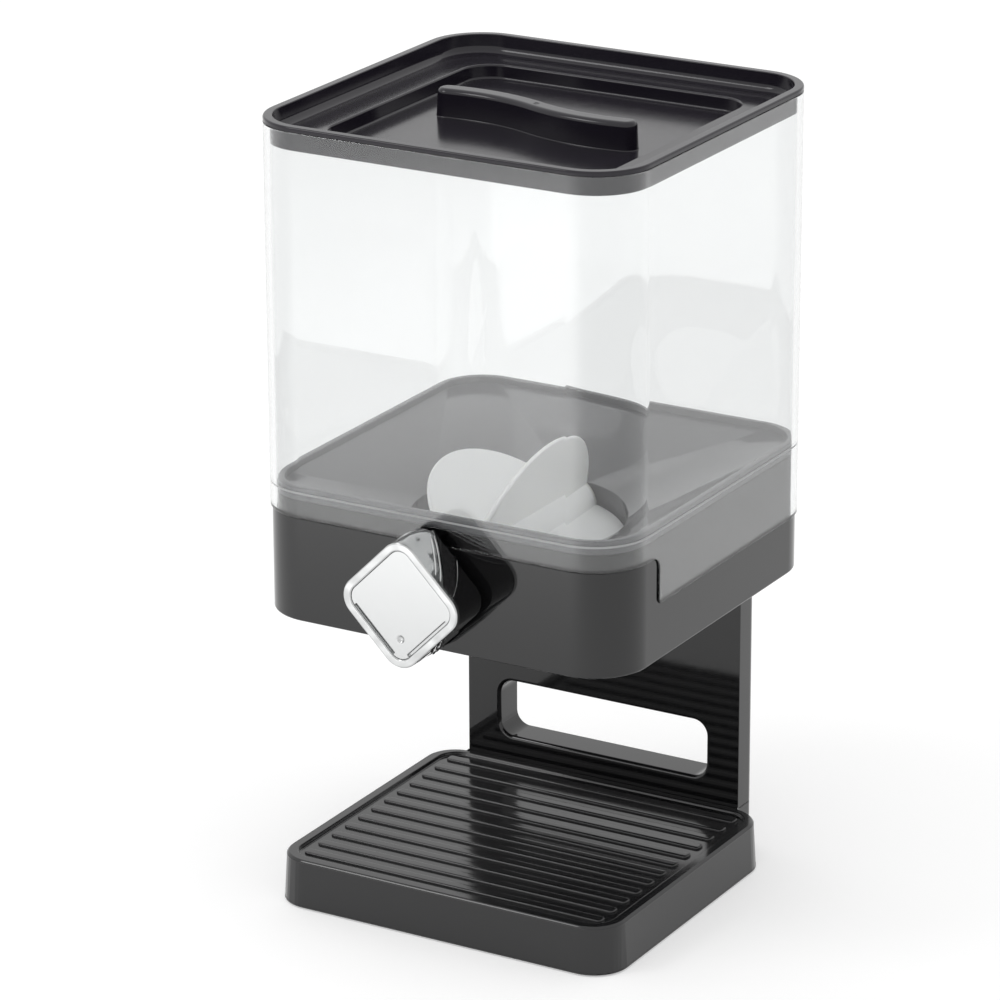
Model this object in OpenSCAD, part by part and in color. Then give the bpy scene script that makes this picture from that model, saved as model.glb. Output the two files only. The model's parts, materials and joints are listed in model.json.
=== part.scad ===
// Countertop cereal dispenser: a clear square canister over a portion wheel, on a one-column stand.
// Millimetres, +Z up. The origin is on the table, straight below the middle of the portion wheel.
// The knob faces -Y and the column stands at the back, +Y.

/* [Canister] */
// Outside width of the canister
body_w = 170; // [150:1:190]
// Outside depth of the canister, front to back
body_d = 170; // [160:1:190]
// Radius of the canister's upright corners, outside
body_corner_r = 24; // [16:1:30]
// Wall of the clear canister
canister_wall = 2.5; // [1.8:0.1:3.2]
// Height of the canister's front wall
canister_h = 159; // [90:1:220]
// How far the canister's middle lies behind the middle of the wheel
body_back = 11.5; // [8:0.5:14]
// Extra depth of the canister's skirt at the sides and the back
side_skirt = 20; // [12:1:24]
// Distance of the deep skirt's front end from the canister's front face
skirt_start = 33; // [28:1:50]
// Corner radius of the deep skirt's notch
notch_r = 5; // [2:0.5:8]
// Radius of the deep skirt's lower front corner
skirt_corner_r = 2.5; // [1:0.5:4]

/* [Lid] */
// Thickness of the flange that lies on the canister's top edge
lid_flange_t = 2; // [1.5:0.1:4]
// Depth of the lid's skirt inside the canister
lid_skirt = 8; // [5:0.5:16]
// Wall of the lid
lid_wall = 1.8; // [1.2:0.1:2.6]
// Depth of the lid's outer step, below its top
lid_step_depth = 8; // [4:0.5:8]
// Width of the ledge between the outer step and the inner pan
lid_ledge = 17; // [8:0.5:20]
// Depth of the pan's floor below the ledge
pan_depth = 5.5; // [4:0.1:12]
// Corner radius of the pan
pan_corner_r = 13; // [6:0.5:20]
// Length of the handle blade
handle_l = 96; // [60:1:104]
// Height of the handle blade over the pan's floor
handle_h = 11.5; // [8:0.1:20]
// Thickness of the handle blade at its foot
handle_t = 9.6; // [6:0.2:14]
// How much each side of the handle blade leans in towards its crown
handle_taper = 0.4; // [0.1:0.1:1]
// Radius of the handle blade's upper edges
handle_edge_r = 2.2; // [1:0.1:2.4]
// Sideways swing of the handle's S-curve
handle_wave = 5.8; // [2:0.2:9]
// Length over which the handle makes one whole wave
handle_wave_l = 120; // [100:2:160]

/* [Housing] */
// Height of the housing's front wall
housing_h = 44; // [42:1:60]
// How far the housing stays inside the canister's outline, on each side
housing_inset = 0.8; // [0.4:0.1:1.5]
// Wall of the housing
housing_wall = 2.5; // [2:0.1:3.2]
// Wall of the liner that stands inside the canister's skirt
liner_wall = 2; // [1.6:0.1:2.6]
// Height of the hopper's rim above the housing's front top edge
liner_rise = 10; // [8:0.5:16]
// Thickness of the plate that closes the housing from below
cover_t = 2.4; // [2:0.1:3.5]
// Radius of the housing's screw bosses
boss_r = 4.5; // [3.5:0.5:6]

/* [Hopper and wheel] */
// Height of the wheel's axis above the housing's underside
axis_rise = 26; // [24:0.5:30]
// Inside radius of the ball-shaped wheel chamber
chamber_r = 46; // [38:0.5:46]
// Height of the hopper's mouth above the wheel's axis
mouth_rise = 9; // [7:0.5:12]
// Wall of the hopper
hopper_wall = 2.2; // [1.6:0.1:3]
// Width of the hopper's flat rim
rim_w = 3.5; // [2.5:0.5:6]
// Thickness of the hopper's rim flange
rim_t = 3; // [2:0.5:4]
// Inside radius of the outlet chute
chute_r = 24; // [16:0.5:28]
// Height of the chute's lower end above the table
chute_z = 107; // [90:1:107]
// Number of paddle blades on the wheel
blades = 5; // [3:1:7]
// Angle at which the first blade leans from upright
blade_lean = 20; // [0:1:60]
// Gap between the blades' tips and the chamber
blade_gap = 1.2; // [0.6:0.1:3]
// Thickness of a blade at its tip
blade_tip_t = 1.8; // [1.2:0.1:3]
// Thickness of a blade at its root
blade_root_t = 3.4; // [2.4:0.1:4.5]
// Radius of the silicone sleeve that carries the blades
sleeve_r = 10.5; // [9.5:0.5:14]
// Radius of the stiff hub inside the sleeve
hub_r = 8; // [7:0.5:9]

/* [Shaft and bearings] */
// Radius of the drive shaft
shaft_r = 5; // [4:0.1:5.5]
// Radius of the shaft's rear journal
rear_r = 3.5; // [2.5:0.1:4]
// Length of the rear journal
rear_l = 12; // [8:0.5:14]
// Outside radius of the front bush
front_bush_r = 8; // [7:0.1:9]
// Outside radius of the rear bush
rear_bush_r = 6; // [5:0.1:7]
// Running clearance of the shaft in its bushes
run_gap = 0.05; // [0.02:0.01:0.1]
// Side of the shaft's square end in the knob
drive_sq = 6.6; // [5:0.1:7]

/* [Knob] */
// Side of the knob's rounded square
knob_side = 42; // [34:0.5:46]
// Corner radius of the knob's rounded square
knob_corner_r = 9; // [5:0.5:12]
// Distance of the knob's face from the canister's front face
knob_out = 23; // [18:0.5:30]
// Gap between the knob's back and the housing's front face
knob_gap = 1.8; // [1.2:0.1:3]
// Thickness of the plated shell's skirt
shell_wall = 1.6; // [1.2:0.1:2.2]
// Thickness of the plated shell's front frame
frame_t = 2.6; // [2:0.1:3.4]
// Width of the plated shell's front frame
frame_w = 3.4; // [2.5:0.1:5]
// Radius of the curved edge where the plated shell gives way to the core
shell_arc_r = 85; // [70:1:120]
// Half width of the plated shell's skirt at the knob's back
shell_back_half = 2.5; // [1.5:0.5:4]
// Half width of the plated shell's skirt at the knob's face
shell_face_half = 20.3; // [18:0.1:21]
// Radius of the curved step on the core
core_arc_r = 50; // [40:1:80]
// Depth of the curved step on the core
core_step = 0.5; // [0.3:0.1:0.8]
// How far the step's curve stands out beside the plated skirt, at the knob's back
core_arc_back = 10; // [6:0.5:14]
// How far the step's curve stands out beside the plated skirt, at the knob's face
core_arc_face = 3; // [2:0.5:4]

/* [Stand] */
// Outside width of the base at its top
base_w = 157; // [140:1:180]
// Distance from the wheel's middle to the front of the base
base_front = 69.5; // [60:0.5:90]
// How far the column stands in from the body's back
column_in = 15; // [10:0.5:17]
// Height of the base
base_h = 21.2; // [18:0.1:30]
// Corner radius of the base
base_corner_r = 14; // [8:0.5:24]
// Outward slope of the base's sides, measured at the table
base_draft = 1.2; // [0.4:0.1:2.5]
// Wall of the base
base_wall = 2.5; // [2:0.1:3]
// Width of the base's rim
base_rim = 5; // [3:0.5:10]
// Width of the base's rim between the tray and the column
tray_back_rim = 3.6; // [3:0.1:6]
// Depth of the tray below the rim
tray_depth = 1.4; // [1.2:0.1:4]
// Width of a tray rib
rib_w = 4.8; // [3.4:0.1:7]
// Height of a tray rib above the tray
rib_h = 1; // [0.6:0.1:1.2]
// Corner radius of a tray rib, seen from above
rib_corner_r = 1.6; // [0.6:0.1:1.6]
// Gap between a tray rib's end and the tray's side
rib_end_gap = 3.5; // [2:0.5:6]
// Number of tray ribs
ribs = 12; // [6:1:13]
// Distance from one tray rib to the next
rib_pitch = 10.4; // [8:0.1:10.6]
// Clear height between the base and the housing
stand_gap = 106.8; // [95:0.1:140]
// Width of the column
column_w = 131; // [110:1:136]
// Thickness of the column
column_t = 15; // [13:0.5:15.5]
// Radius of the column's rear edges
column_edge_r = 6; // [2:0.5:6]
// Wall of the column
column_wall = 2.5; // [2:0.1:3]
// Width of the window through the column
window_w = 100; // [60:1:104]
// Height of the window through the column
window_h = 25.3; // [16:0.1:40]
// Height of the window's lower edge above the base
window_rise = 10.6; // [8:0.1:16]
// Corner radius of the window
window_r = 6.5; // [3:0.5:8]
// Radius of a rubber foot
foot_r = 6; // [4:0.5:7]
// Thickness of a rubber foot
foot_t = 2.6; // [1.5:0.1:4]
// How far a rubber foot stands out under the base
foot_out = 0.8; // [0.4:0.1:1.5]
// How far the rear feet stand behind the tray's rear corners
foot_shift = 4; // [0:0.5:5]
// Distance of a stand screw from the column's side
column_screw_in = 14; // [12:0.5:20]

/* [Screws] */
// Radius of a screw's shank
screw_r = 1.5; // [1:0.1:1.8]
// Radius of a screw's head
screw_head_r = 3; // [2.4:0.1:3.6]
// Height of a screw's head
screw_head_h = 1.8; // [1.2:0.1:2.4]
// Length of a screw's shank
screw_l = 11; // [8:0.5:12]

/* [Hidden] */

$fn = 64;

// clearances
seat = 0.15;       // between pieces that rest on each other and lift apart
slip = 0.3;        // between a lid or plate and the walls round it
skirt_slip = 0.5;  // between the canister's skirt and the liner
hold = 0.05;       // between pieces that are pressed together
boss_root = 0.2;   // how far a boss runs into the corner behind it
over = 1;          // how far a cutting shape runs past the surface it cuts
skin = 0.01;       // thickness of the slices that a hull is stretched over
root_in = 0.3;     // how far a rib's foot runs into the tray

// levels
housing_z = base_h + stand_gap;
housing_top = housing_z + housing_h;
rim_z = housing_top + liner_rise;
shoulder_z = housing_top - side_skirt;
canister_top = housing_top + seat + canister_h;
lid_z = canister_top + seat;
lid_top = lid_z + lid_flange_t;
ledge_z = lid_top - lid_step_depth;
pan_z = ledge_z - pan_depth;
axis_z = housing_z + axis_rise;
mouth_z = axis_z + mouth_rise;

// plan sizes
half_w = body_w / 2;
half_d = body_d / 2;
liner_out = canister_wall + skirt_slip;
notch_y = body_back - half_d + skirt_start;
column_front = body_back + half_d - column_in - column_t;
housing_face = body_back - half_d + housing_inset;
liner_face = body_back - half_d + liner_out + liner_wall;
outlet_r = sqrt(pow(chamber_r + hopper_wall, 2) - pow(axis_rise - cover_t, 2));
mouth_r = sqrt(chamber_r * chamber_r - mouth_rise * mouth_rise);
blade_r = chamber_r - blade_gap;
chamber_out = chamber_r + hopper_wall;

// shaft stations along Y
knob_face_y = body_back - half_d - knob_out;
knob_back_y = housing_face - knob_gap;
bush_flange_t = 1;
collar_t = 2;
collar_r = shaft_r + 2.5;
neck_front = liner_face + slip;
collar_y = neck_front + slip;
neck_step = collar_y + collar_t + 2 * slip;
neck_wall = 3.2;
neck_r = collar_r + slip + neck_wall;
hub_half = chamber_r - 2.5;
rear_y = hub_half + 0.5;
rear_boss_end = rear_y + rear_l + 3;
rear_boss_r = rear_bush_r + 2.5;
socket_l = 17;

// shapes that repeat -----------------------------------------------------------------------------

// rectangle with true round corners, centred
module round_rect(half_x, half_y, r) {
    square([2 * (half_x - r), 2 * half_y], center = true);
    square([2 * half_x, 2 * (half_y - r)], center = true);
    for (sx = [-1, 1], sy = [-1, 1])
        translate([sx * (half_x - r), sy * (half_y - r)])
            circle(r);
}

// the canister's outline, moved inwards by inset, from level z over height h
module body_slab(inset, z, h) {
    translate([0, body_back, z])
        linear_extrude(h)
            round_rect(half_w - inset, half_d - inset, body_corner_r - inset);
}

// cylinder along +Y that starts at y
module rod_y(r, y, l, facets = 64) {
    translate([0, y, axis_z])
        rotate([-90, 0, 0])
            cylinder(r = r, h = l, $fn = facets);
}

// pan-head screw with its shank along +Z and its seat at z = 0
module screw(l = screw_l) {
    cylinder(r = screw_r, h = l, $fn = 24);
    difference() {
        translate([0, 0, -screw_head_h])
            cylinder(r = screw_head_r, h = screw_head_h, $fn = 32);
        // cross recess
        for (turn = [0, 90])
            rotate([0, 0, turn])
                translate([-screw_head_r * 0.6, -0.4, -screw_head_h - over])
                    cube([screw_head_r * 1.2, 0.8, over + 0.9]);
    }
}

module at_cover_screws() {
    reach = body_corner_r - housing_inset - housing_wall;
    x = half_w - housing_inset - housing_wall - reach + (reach - boss_r + boss_root) * sin(45);
    y = half_d - housing_inset - housing_wall - reach + (reach - boss_r + boss_root) * sin(45);
    for (sx = [-1, 1], sy = [-1, 1])
        translate([sx * x, body_back + sy * y, 0])
            children();
}

module at_column_screws() {
    for (sx = [-1, 1])
        translate([sx * (column_w / 2 - column_screw_in), column_front + column_t / 2, 0])
            children();
}

// canister and lid -------------------------------------------------------------------------------

// the space in front of the deep skirt, which its rounded notch leaves free
module front_of_notch() {
    depth = notch_y - (body_back - half_d) + over;
    bottom = shoulder_z - over;
    top = housing_top + seat;
    translate([-half_w - over, 0, 0])
        rotate([90, 0, 90])
            linear_extrude(body_w + 2 * over)
                difference() {
                    union() {
                        translate([notch_y - depth, bottom])
                            square([depth, top - notch_r - bottom]);
                        // round upper end of the notch
                        translate([notch_y - depth, bottom])
                            square([depth - notch_r, top - bottom]);
                        translate([notch_y - notch_r, top - notch_r])
                            circle(notch_r, $fn = 48);
                        // foot of the notch, below the skirt's lower front corner
                        translate([notch_y - depth, bottom])
                            square([depth + skirt_corner_r, over + skirt_corner_r - hold]);
                    }
                    // skirt's round lower front corner
                    translate([notch_y + skirt_corner_r, shoulder_z + skirt_corner_r - hold])
                        circle(skirt_corner_r, $fn = 48);
                }
}

module canister() {
    color([0.93, 0.96, 0.97, 0.35])
        difference() {
            body_slab(0, shoulder_z + seat, canister_top - shoulder_z - seat);
            body_slab(canister_wall, shoulder_z - over, canister_top - shoulder_z + 2 * over);
            front_of_notch();
        }
}

// cross-section of the handle blade, its foot sunk into the pan's floor, grown by grow
module handle_profile(grow) {
    foot = handle_t / 2 + grow;
    crown = foot - handle_taper - handle_edge_r;
    shoulder = handle_h + grow - handle_edge_r;
    right = [for (a = [0 : 22.5 : 90]) [crown + handle_edge_r * cos(a), shoulder + handle_edge_r * sin(a)]];
    left = [for (a = [90 : 22.5 : 180]) [-crown + handle_edge_r * cos(a), shoulder + handle_edge_r * sin(a)]];
    polygon(concat([[-foot, -over / 2], [foot, -over / 2]], right, left));
}

// the S-shaped handle blade: two equal arcs that meet in its middle, each with a round end
module handle_blade() {
    bulge = handle_wave_l / 4;
    arc_r = (bulge * bulge + handle_wave * handle_wave) / (2 * handle_wave);
    from = asin(-bulge / arc_r);
    to = asin((handle_l / 2 - handle_t / 2 - bulge) / arc_r);
    for (turn = [0, 180])
        rotate([0, 0, turn])
            translate([bulge, arc_r - handle_wave, 0])
                rotate([0, 0, from - 90]) {
                    rotate_extrude(angle = to - from, $fn = 180)
                        translate([arc_r, 0])
                            handle_profile(0);
                    rotate([0, 0, to - from])
                        translate([arc_r, 0, 0])
                            rotate_extrude($fn = 48)
                                intersection() {
                                    handle_profile(-hold);
                                    translate([0, -over])
                                        square([handle_t, handle_h + 2 * over]);
                                }
                }
    // short straight stretch between the arcs
    rotate([0, 0, from])
        rotate([90, 0, 90])
            translate([0, 0, -over])
                linear_extrude(2 * over)
                    handle_profile(hold);
}

module lid() {
    skirt_inset = canister_wall + slip;
    wall_inset = skirt_inset + lid_wall;
    pan_inset = wall_inset + lid_ledge;
    pan_w = half_w - pan_inset;
    pan_d = half_d - pan_inset;
    color([0.12, 0.11, 0.13]) {
        difference() {
            union() {
                body_slab(0, lid_z, lid_flange_t);
                body_slab(skirt_inset, lid_z - lid_skirt, lid_skirt + skin);
                translate([0, body_back, pan_z - lid_wall])
                    linear_extrude(ledge_z - pan_z + lid_wall)
                        round_rect(pan_w + lid_wall, pan_d + lid_wall, pan_corner_r + lid_wall);
            }
            // outer step
            body_slab(wall_inset, ledge_z, lid_step_depth + over);
            // underside of the ledge
            difference() {
                body_slab(wall_inset, pan_z - lid_wall - over, ledge_z - lid_wall - pan_z + lid_wall + over);
                translate([0, body_back, pan_z - lid_wall - 2 * over])
                    linear_extrude(ledge_z - pan_z + 4 * over)
                        round_rect(pan_w + lid_wall, pan_d + lid_wall, pan_corner_r + lid_wall);
            }
            // pan
            translate([0, body_back, pan_z])
                linear_extrude(lid_top - pan_z + over)
                    round_rect(pan_w, pan_d, pan_corner_r);
        }
        translate([0, body_back, pan_z])
            handle_blade();
    }
}

// housing ----------------------------------------------------------------------------------------

module housing() {
    inner = housing_inset + housing_wall;
    color([0.08, 0.08, 0.09])
        difference() {
            union() {
                difference() {
                    union() {
                        body_slab(housing_inset, housing_z, housing_top - housing_z);
                        body_slab(liner_out, shoulder_z, rim_z - rim_t - shoulder_z);
                    }
                    // seat of the deep skirt
                    difference() {
                        body_slab(-over, shoulder_z, housing_top - shoulder_z + over);
                        body_slab(liner_out, shoulder_z - over, rim_z - shoulder_z);
                        front_of_notch();
                    }
                    // inside of the liner, and the wider room below the shoulder
                    body_slab(liner_out + liner_wall, housing_z - over, rim_z - housing_z);
                    body_slab(inner, housing_z - over, shoulder_z - housing_wall - housing_z + over);
                }
                at_cover_screws()
                    translate([0, 0, housing_z + cover_t])
                        cylinder(r = boss_r, h = shoulder_z - housing_wall - housing_z - cover_t + skin);
                // boss behind the front wall, which carries the front bush
                rod_y(front_bush_r + 2, housing_face + housing_wall - over, liner_face - housing_face - housing_wall + over);
            }
            at_cover_screws()
                translate([0, 0, housing_z - over])
                    cylinder(r = screw_r + hold, h = cover_t + screw_l + 2 * over, $fn = 24);
            rod_y(front_bush_r + hold, housing_face - over, liner_face - housing_face + 2 * over);
        }
}

module bottom_cover() {
    inset = housing_inset + housing_wall + slip;
    color([0.09, 0.09, 0.1])
        difference() {
            body_slab(inset, housing_z, cover_t);
            translate([0, 0, housing_z - over])
                cylinder(r = outlet_r + slip, h = cover_t + 2 * over, $fn = 96);
            at_cover_screws()
                translate([0, 0, housing_z - over]) {
                    cylinder(r = screw_r + slip, h = cover_t + 2 * over, $fn = 24);
                    cylinder(r = screw_head_r + slip, h = over + screw_head_h / 2, $fn = 32);
                }
            at_column_screws()
                translate([0, 0, housing_z - over])
                    cylinder(r = screw_r + slip, h = cover_t + 2 * over, $fn = 24);
        }
}

module cover_screws() {
    color([0.6, 0.6, 0.62])
        at_cover_screws()
            translate([0, 0, housing_z + screw_head_h / 2])
                screw();
}

// hopper -----------------------------------------------------------------------------------------

// funnel between the body's outline at level top and a round at level low
module funnel(inset, top, r, low) {
    hull() {
        translate([0, body_back, top])
            linear_extrude(skin)
                round_rect(half_w - inset, half_d - inset, body_corner_r - inset, $fn = 48);
        translate([0, 0, low])
            cylinder(r = r, h = skin, $fn = 72);
    }
}

module hopper() {
    rim_inset = liner_out;
    bowl_inset = rim_inset + rim_w;
    color([0.13, 0.13, 0.14])
        difference() {
            union() {
                body_slab(rim_inset, rim_z - rim_t, rim_t);
                funnel(liner_out + liner_wall + slip, rim_z - rim_t, mouth_r + hopper_wall, mouth_z - hopper_wall);
                intersection() {
                    translate([0, 0, axis_z])
                        sphere(r = chamber_out, $fn = 96);
                    translate([0, 0, chute_z])
                        cylinder(r = chamber_out + over, h = mouth_z - chute_z, $fn = 96);
                }
                translate([0, 0, chute_z])
                    cylinder(r = chute_r + hopper_wall, h = axis_z - chamber_r - chute_z + chute_r / 2);
                rod_y(neck_r, neck_front, -neck_front - chamber_r / 2);
                rod_y(rear_boss_r, chamber_r / 2, rear_boss_end - chamber_r / 2);
            }
            funnel(bowl_inset, rim_z, mouth_r, mouth_z);
            body_slab(bowl_inset, rim_z, over);
            translate([0, 0, axis_z])
                sphere(r = chamber_r, $fn = 96);
            translate([0, 0, chute_z - over])
                cylinder(r = chute_r, h = axis_z - chute_z + over);
            // shaft way and collar room in the neck, seat of the rear bush in its boss
            rod_y(shaft_r + slip + hold, neck_front - over, -neck_front);
            rod_y(collar_r + slip, neck_front - over, neck_step - neck_front + over);
            rod_y(rear_bush_r + hold, chamber_r / 2, rear_y + rear_l - chamber_r / 2 + over);
        }
}

// wheel and shaft --------------------------------------------------------------------------------

// one blade: a wedge that thins away from the axis, trimmed to a half disc with a bevelled rim
module blade(sleeve_half) {
    tip = blade_tip_t / 2;
    root = blade_root_t / 2;
    rim = tip * 0.4;
    full = root + over;
    core_r = hub_r + over;
    difference() {
        translate([0, 0, axis_z])
            intersection() {
                translate([0, blade_r, 0])
                    rotate([90, 0, 0])
                        linear_extrude(2 * blade_r)
                            polygon([[-root, 0], [root, 0], [tip, blade_r], [-tip, blade_r]]);
                rotate([0, 90, 0])
                    rotate_extrude($fn = 96)
                        polygon([
                            [0, -full], [blade_r - full + rim, -full], [blade_r, -rim],
                            [blade_r, rim], [blade_r - full + rim, full], [0, full]
                        ]);
            }
        // the sleeve fills the middle, and the hub's flanges need room at its ends
        rod_y(core_r, -chamber_r, 2 * chamber_r);
        for (y = [-chamber_r, sleeve_half - slip])
            rod_y(sleeve_r + slip, y, chamber_r - sleeve_half + slip);
    }
}

module paddle_wheel() {
    sleeve_half = hub_half - 2;
    color([0.93, 0.93, 0.92])
        difference() {
            union() {
                rod_y(sleeve_r, -sleeve_half, 2 * sleeve_half);
                for (i = [0 : blades - 1])
                    translate([0, 0, axis_z])
                        rotate([0, blade_lean + i * 360 / blades, 0])
                            translate([0, 0, -axis_z])
                                blade(sleeve_half);
            }
            rod_y(hub_r + hold, -chamber_r, 2 * chamber_r);
        }
}

module wheel_hub() {
    color([0.85, 0.85, 0.84])
        difference() {
            union() {
                rod_y(hub_r, -hub_half, 2 * hub_half);
                for (y = [-hub_half, hub_half - 2 + hold])
                    rod_y(sleeve_r - slip, y, 2 - hold);
            }
            rod_y(shaft_r + hold, -chamber_r, 2 * chamber_r, 6);
        }
}

module drive_shaft() {
    square_front = knob_back_y - socket_l;
    hex_y = -chamber_r - hopper_wall;
    color([0.75, 0.75, 0.76]) {
        translate([-drive_sq / 2, square_front, axis_z - drive_sq / 2])
            difference() {
                cube([drive_sq, socket_l, drive_sq]);
                // pilot of the knob's screw
                translate([drive_sq / 2, -over, drive_sq / 2])
                    rotate([-90, 0, 0])
                        cylinder(r = screw_r + hold, h = screw_l + over, $fn = 24);
            }
        rod_y(shaft_r, knob_back_y, hex_y - knob_back_y);
        rod_y(collar_r, collar_y, collar_t);
        rod_y(shaft_r, hex_y, rear_y - hex_y, 6);
        rod_y(rear_r, rear_y - skin, rear_l - 1);
    }
}

module front_bush() {
    color([0.9, 0.9, 0.88])
        difference() {
            union() {
                rod_y(front_bush_r, housing_face - skin, liner_face - housing_face + skin);
                rod_y(front_bush_r + 1.5, housing_face - bush_flange_t, bush_flange_t);
            }
            rod_y(shaft_r + run_gap, housing_face - bush_flange_t - over, body_d / 4);
        }
}

module rear_bush() {
    color([0.9, 0.9, 0.88])
        difference() {
            rod_y(rear_bush_r, rear_y + 0.5, rear_l);
            rod_y(rear_r + run_gap, rear_y - over, rear_l + 3 * over);
        }
}

// knob -------------------------------------------------------------------------------------------

// rounded square standing on its corner, from y over depth l
module diamond(inset, y, l) {
    translate([0, y, axis_z])
        rotate([-90, 0, 0])
            linear_extrude(l)
                rotate([0, 0, 45])
                    round_rect(knob_side / 2 - inset, knob_side / 2 - inset, knob_corner_r - inset);
}

// upright prow between two arcs of radius r: half_a wide at the knob's back, half_b at its face
module prow(r, half_a, half_b) {
    run = knob_back_y - knob_face_y;
    chord = sqrt(pow(half_b - half_a, 2) + run * run);
    sagitta_side = sqrt(r * r - chord * chord / 4);
    cx = (half_a + half_b) / 2 - sagitta_side * run / chord;
    cy = (knob_back_y + knob_face_y) / 2 - sagitta_side * (half_b - half_a) / chord;
    translate([0, 0, axis_z - knob_side])
        linear_extrude(2 * knob_side)
            intersection() {
                translate([cx, cy])
                    circle(r, $fn = 180);
                translate([-cx, cy])
                    circle(r, $fn = 180);
            }
}

module knob_shell() {
    run = knob_back_y - knob_face_y;
    color([0.86, 0.86, 0.87])
        difference() {
            union() {
                diamond(0, knob_face_y, frame_t);
                intersection() {
                    diamond(0, knob_face_y, run);
                    prow(shell_arc_r, shell_back_half, shell_face_half);
                }
            }
            diamond(shell_wall, knob_face_y + frame_t, run);
            diamond(frame_w, knob_face_y - over, run);
        }
}

module knob_face() {
    inset = frame_w + hold;
    plate_t = frame_t - 0.6 - hold;
    slot_l = (knob_side - 2 * frame_w) * 0.7;
    slot_w = 1.3;
    dimple_r = 1.85;
    dimple_drop = 14.2;
    dimple_out = 0.9;
    color([0.9, 0.9, 0.9])
        difference() {
            diamond(inset, knob_face_y + 0.6, plate_t);
            translate([0, knob_face_y + 0.6, axis_z])
                rotate([90, 0, 0]) {
                    // grooves along the two lower edges
                    for (turn = [-45, 45])
                        rotate([0, 0, turn])
                            translate([-slot_l / 2, -knob_side / 2 + inset - over, -1.2])
                                cube([slot_l, slot_w + over, 1.2 + over]);
                    // shallow round dimple over the lower corner
                    translate([0, -dimple_drop, dimple_out])
                        sphere(r = dimple_r, $fn = 32);
                }
        }
}

module knob_core() {
    start = knob_face_y + frame_t + hold;
    run = knob_back_y - start;
    color([0.05, 0.05, 0.06])
        difference() {
            union() {
                diamond(shell_wall + hold, start, run);
                difference() {
                    diamond(core_step, start, run);
                    prow(shell_arc_r, shell_back_half + slip, shell_face_half + slip);
                }
                intersection() {
                    difference() {
                        diamond(0, start, run);
                        prow(shell_arc_r, shell_back_half + slip, shell_face_half + slip);
                    }
                    prow(core_arc_r, shell_back_half + core_arc_back, shell_face_half + core_arc_face);
                }
            }
            // square socket for the shaft, and the screw's pocket in front of it
            translate([-drive_sq / 2 - hold, knob_back_y - socket_l - hold, axis_z - drive_sq / 2 - hold])
                cube([drive_sq + 2 * hold, socket_l + hold + over, drive_sq + 2 * hold]);
            rod_y(screw_r + slip, start - over, run);
            rod_y(screw_head_r + slip, start - over, screw_head_h + over + hold);
        }
}

module knob_screw() {
    start = knob_face_y + frame_t + hold;
    color([0.6, 0.6, 0.62])
        translate([0, start + screw_head_h + hold, axis_z])
            rotate([-90, 0, 0])
                screw(screw_l);
}

// stand ------------------------------------------------------------------------------------------

// outline of the tray block, moved outwards by grow
module tray_outline(grow, facets = 64) {
    depth = base_front + column_front;
    translate([0, (column_front - base_front) / 2])
        round_rect(base_w / 2 + grow, depth / 2 + grow, base_corner_r + grow, $fn = facets);
}

// outline of the column, moved inwards by inset
module column_outline(inset) {
    r = max(0.5, column_edge_r - inset);
    w = column_w / 2 - inset;
    y0 = column_front + inset;
    y1 = column_front + column_t - inset;
    translate([-w, y0])
        square([2 * w, y1 - y0 - r]);
    translate([-w + r, y0])
        square([2 * (w - r), y1 - y0]);
    for (sx = [-1, 1])
        translate([sx * (w - r), y1 - r])
            circle(r);
}

module window_slab(grow, y0, l) {
    translate([0, y0, base_h + window_rise + window_h / 2])
        rotate([-90, 0, 0])
            linear_extrude(l)
                round_rect(window_w / 2 + grow, window_h / 2 + grow, window_r + grow);
}

// foot pads sit at the base's corners
module at_feet() {
    x = base_w / 2 - base_corner_r;
    for (sx = [-1, 1])
        for (y = [-base_front + base_corner_r, column_front - base_corner_r + foot_shift])
            translate([sx * x, y, 0])
                children();
}

// one raised tray rib with a flat back and round corners, lying along X on z = 0
module tray_rib() {
    translate([0, 0, -root_in])
        linear_extrude(rib_h + root_in)
            round_rect(base_w / 2 - base_rim - rib_end_gap, rib_w / 2, rib_corner_r, $fn = 32);
}

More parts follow.
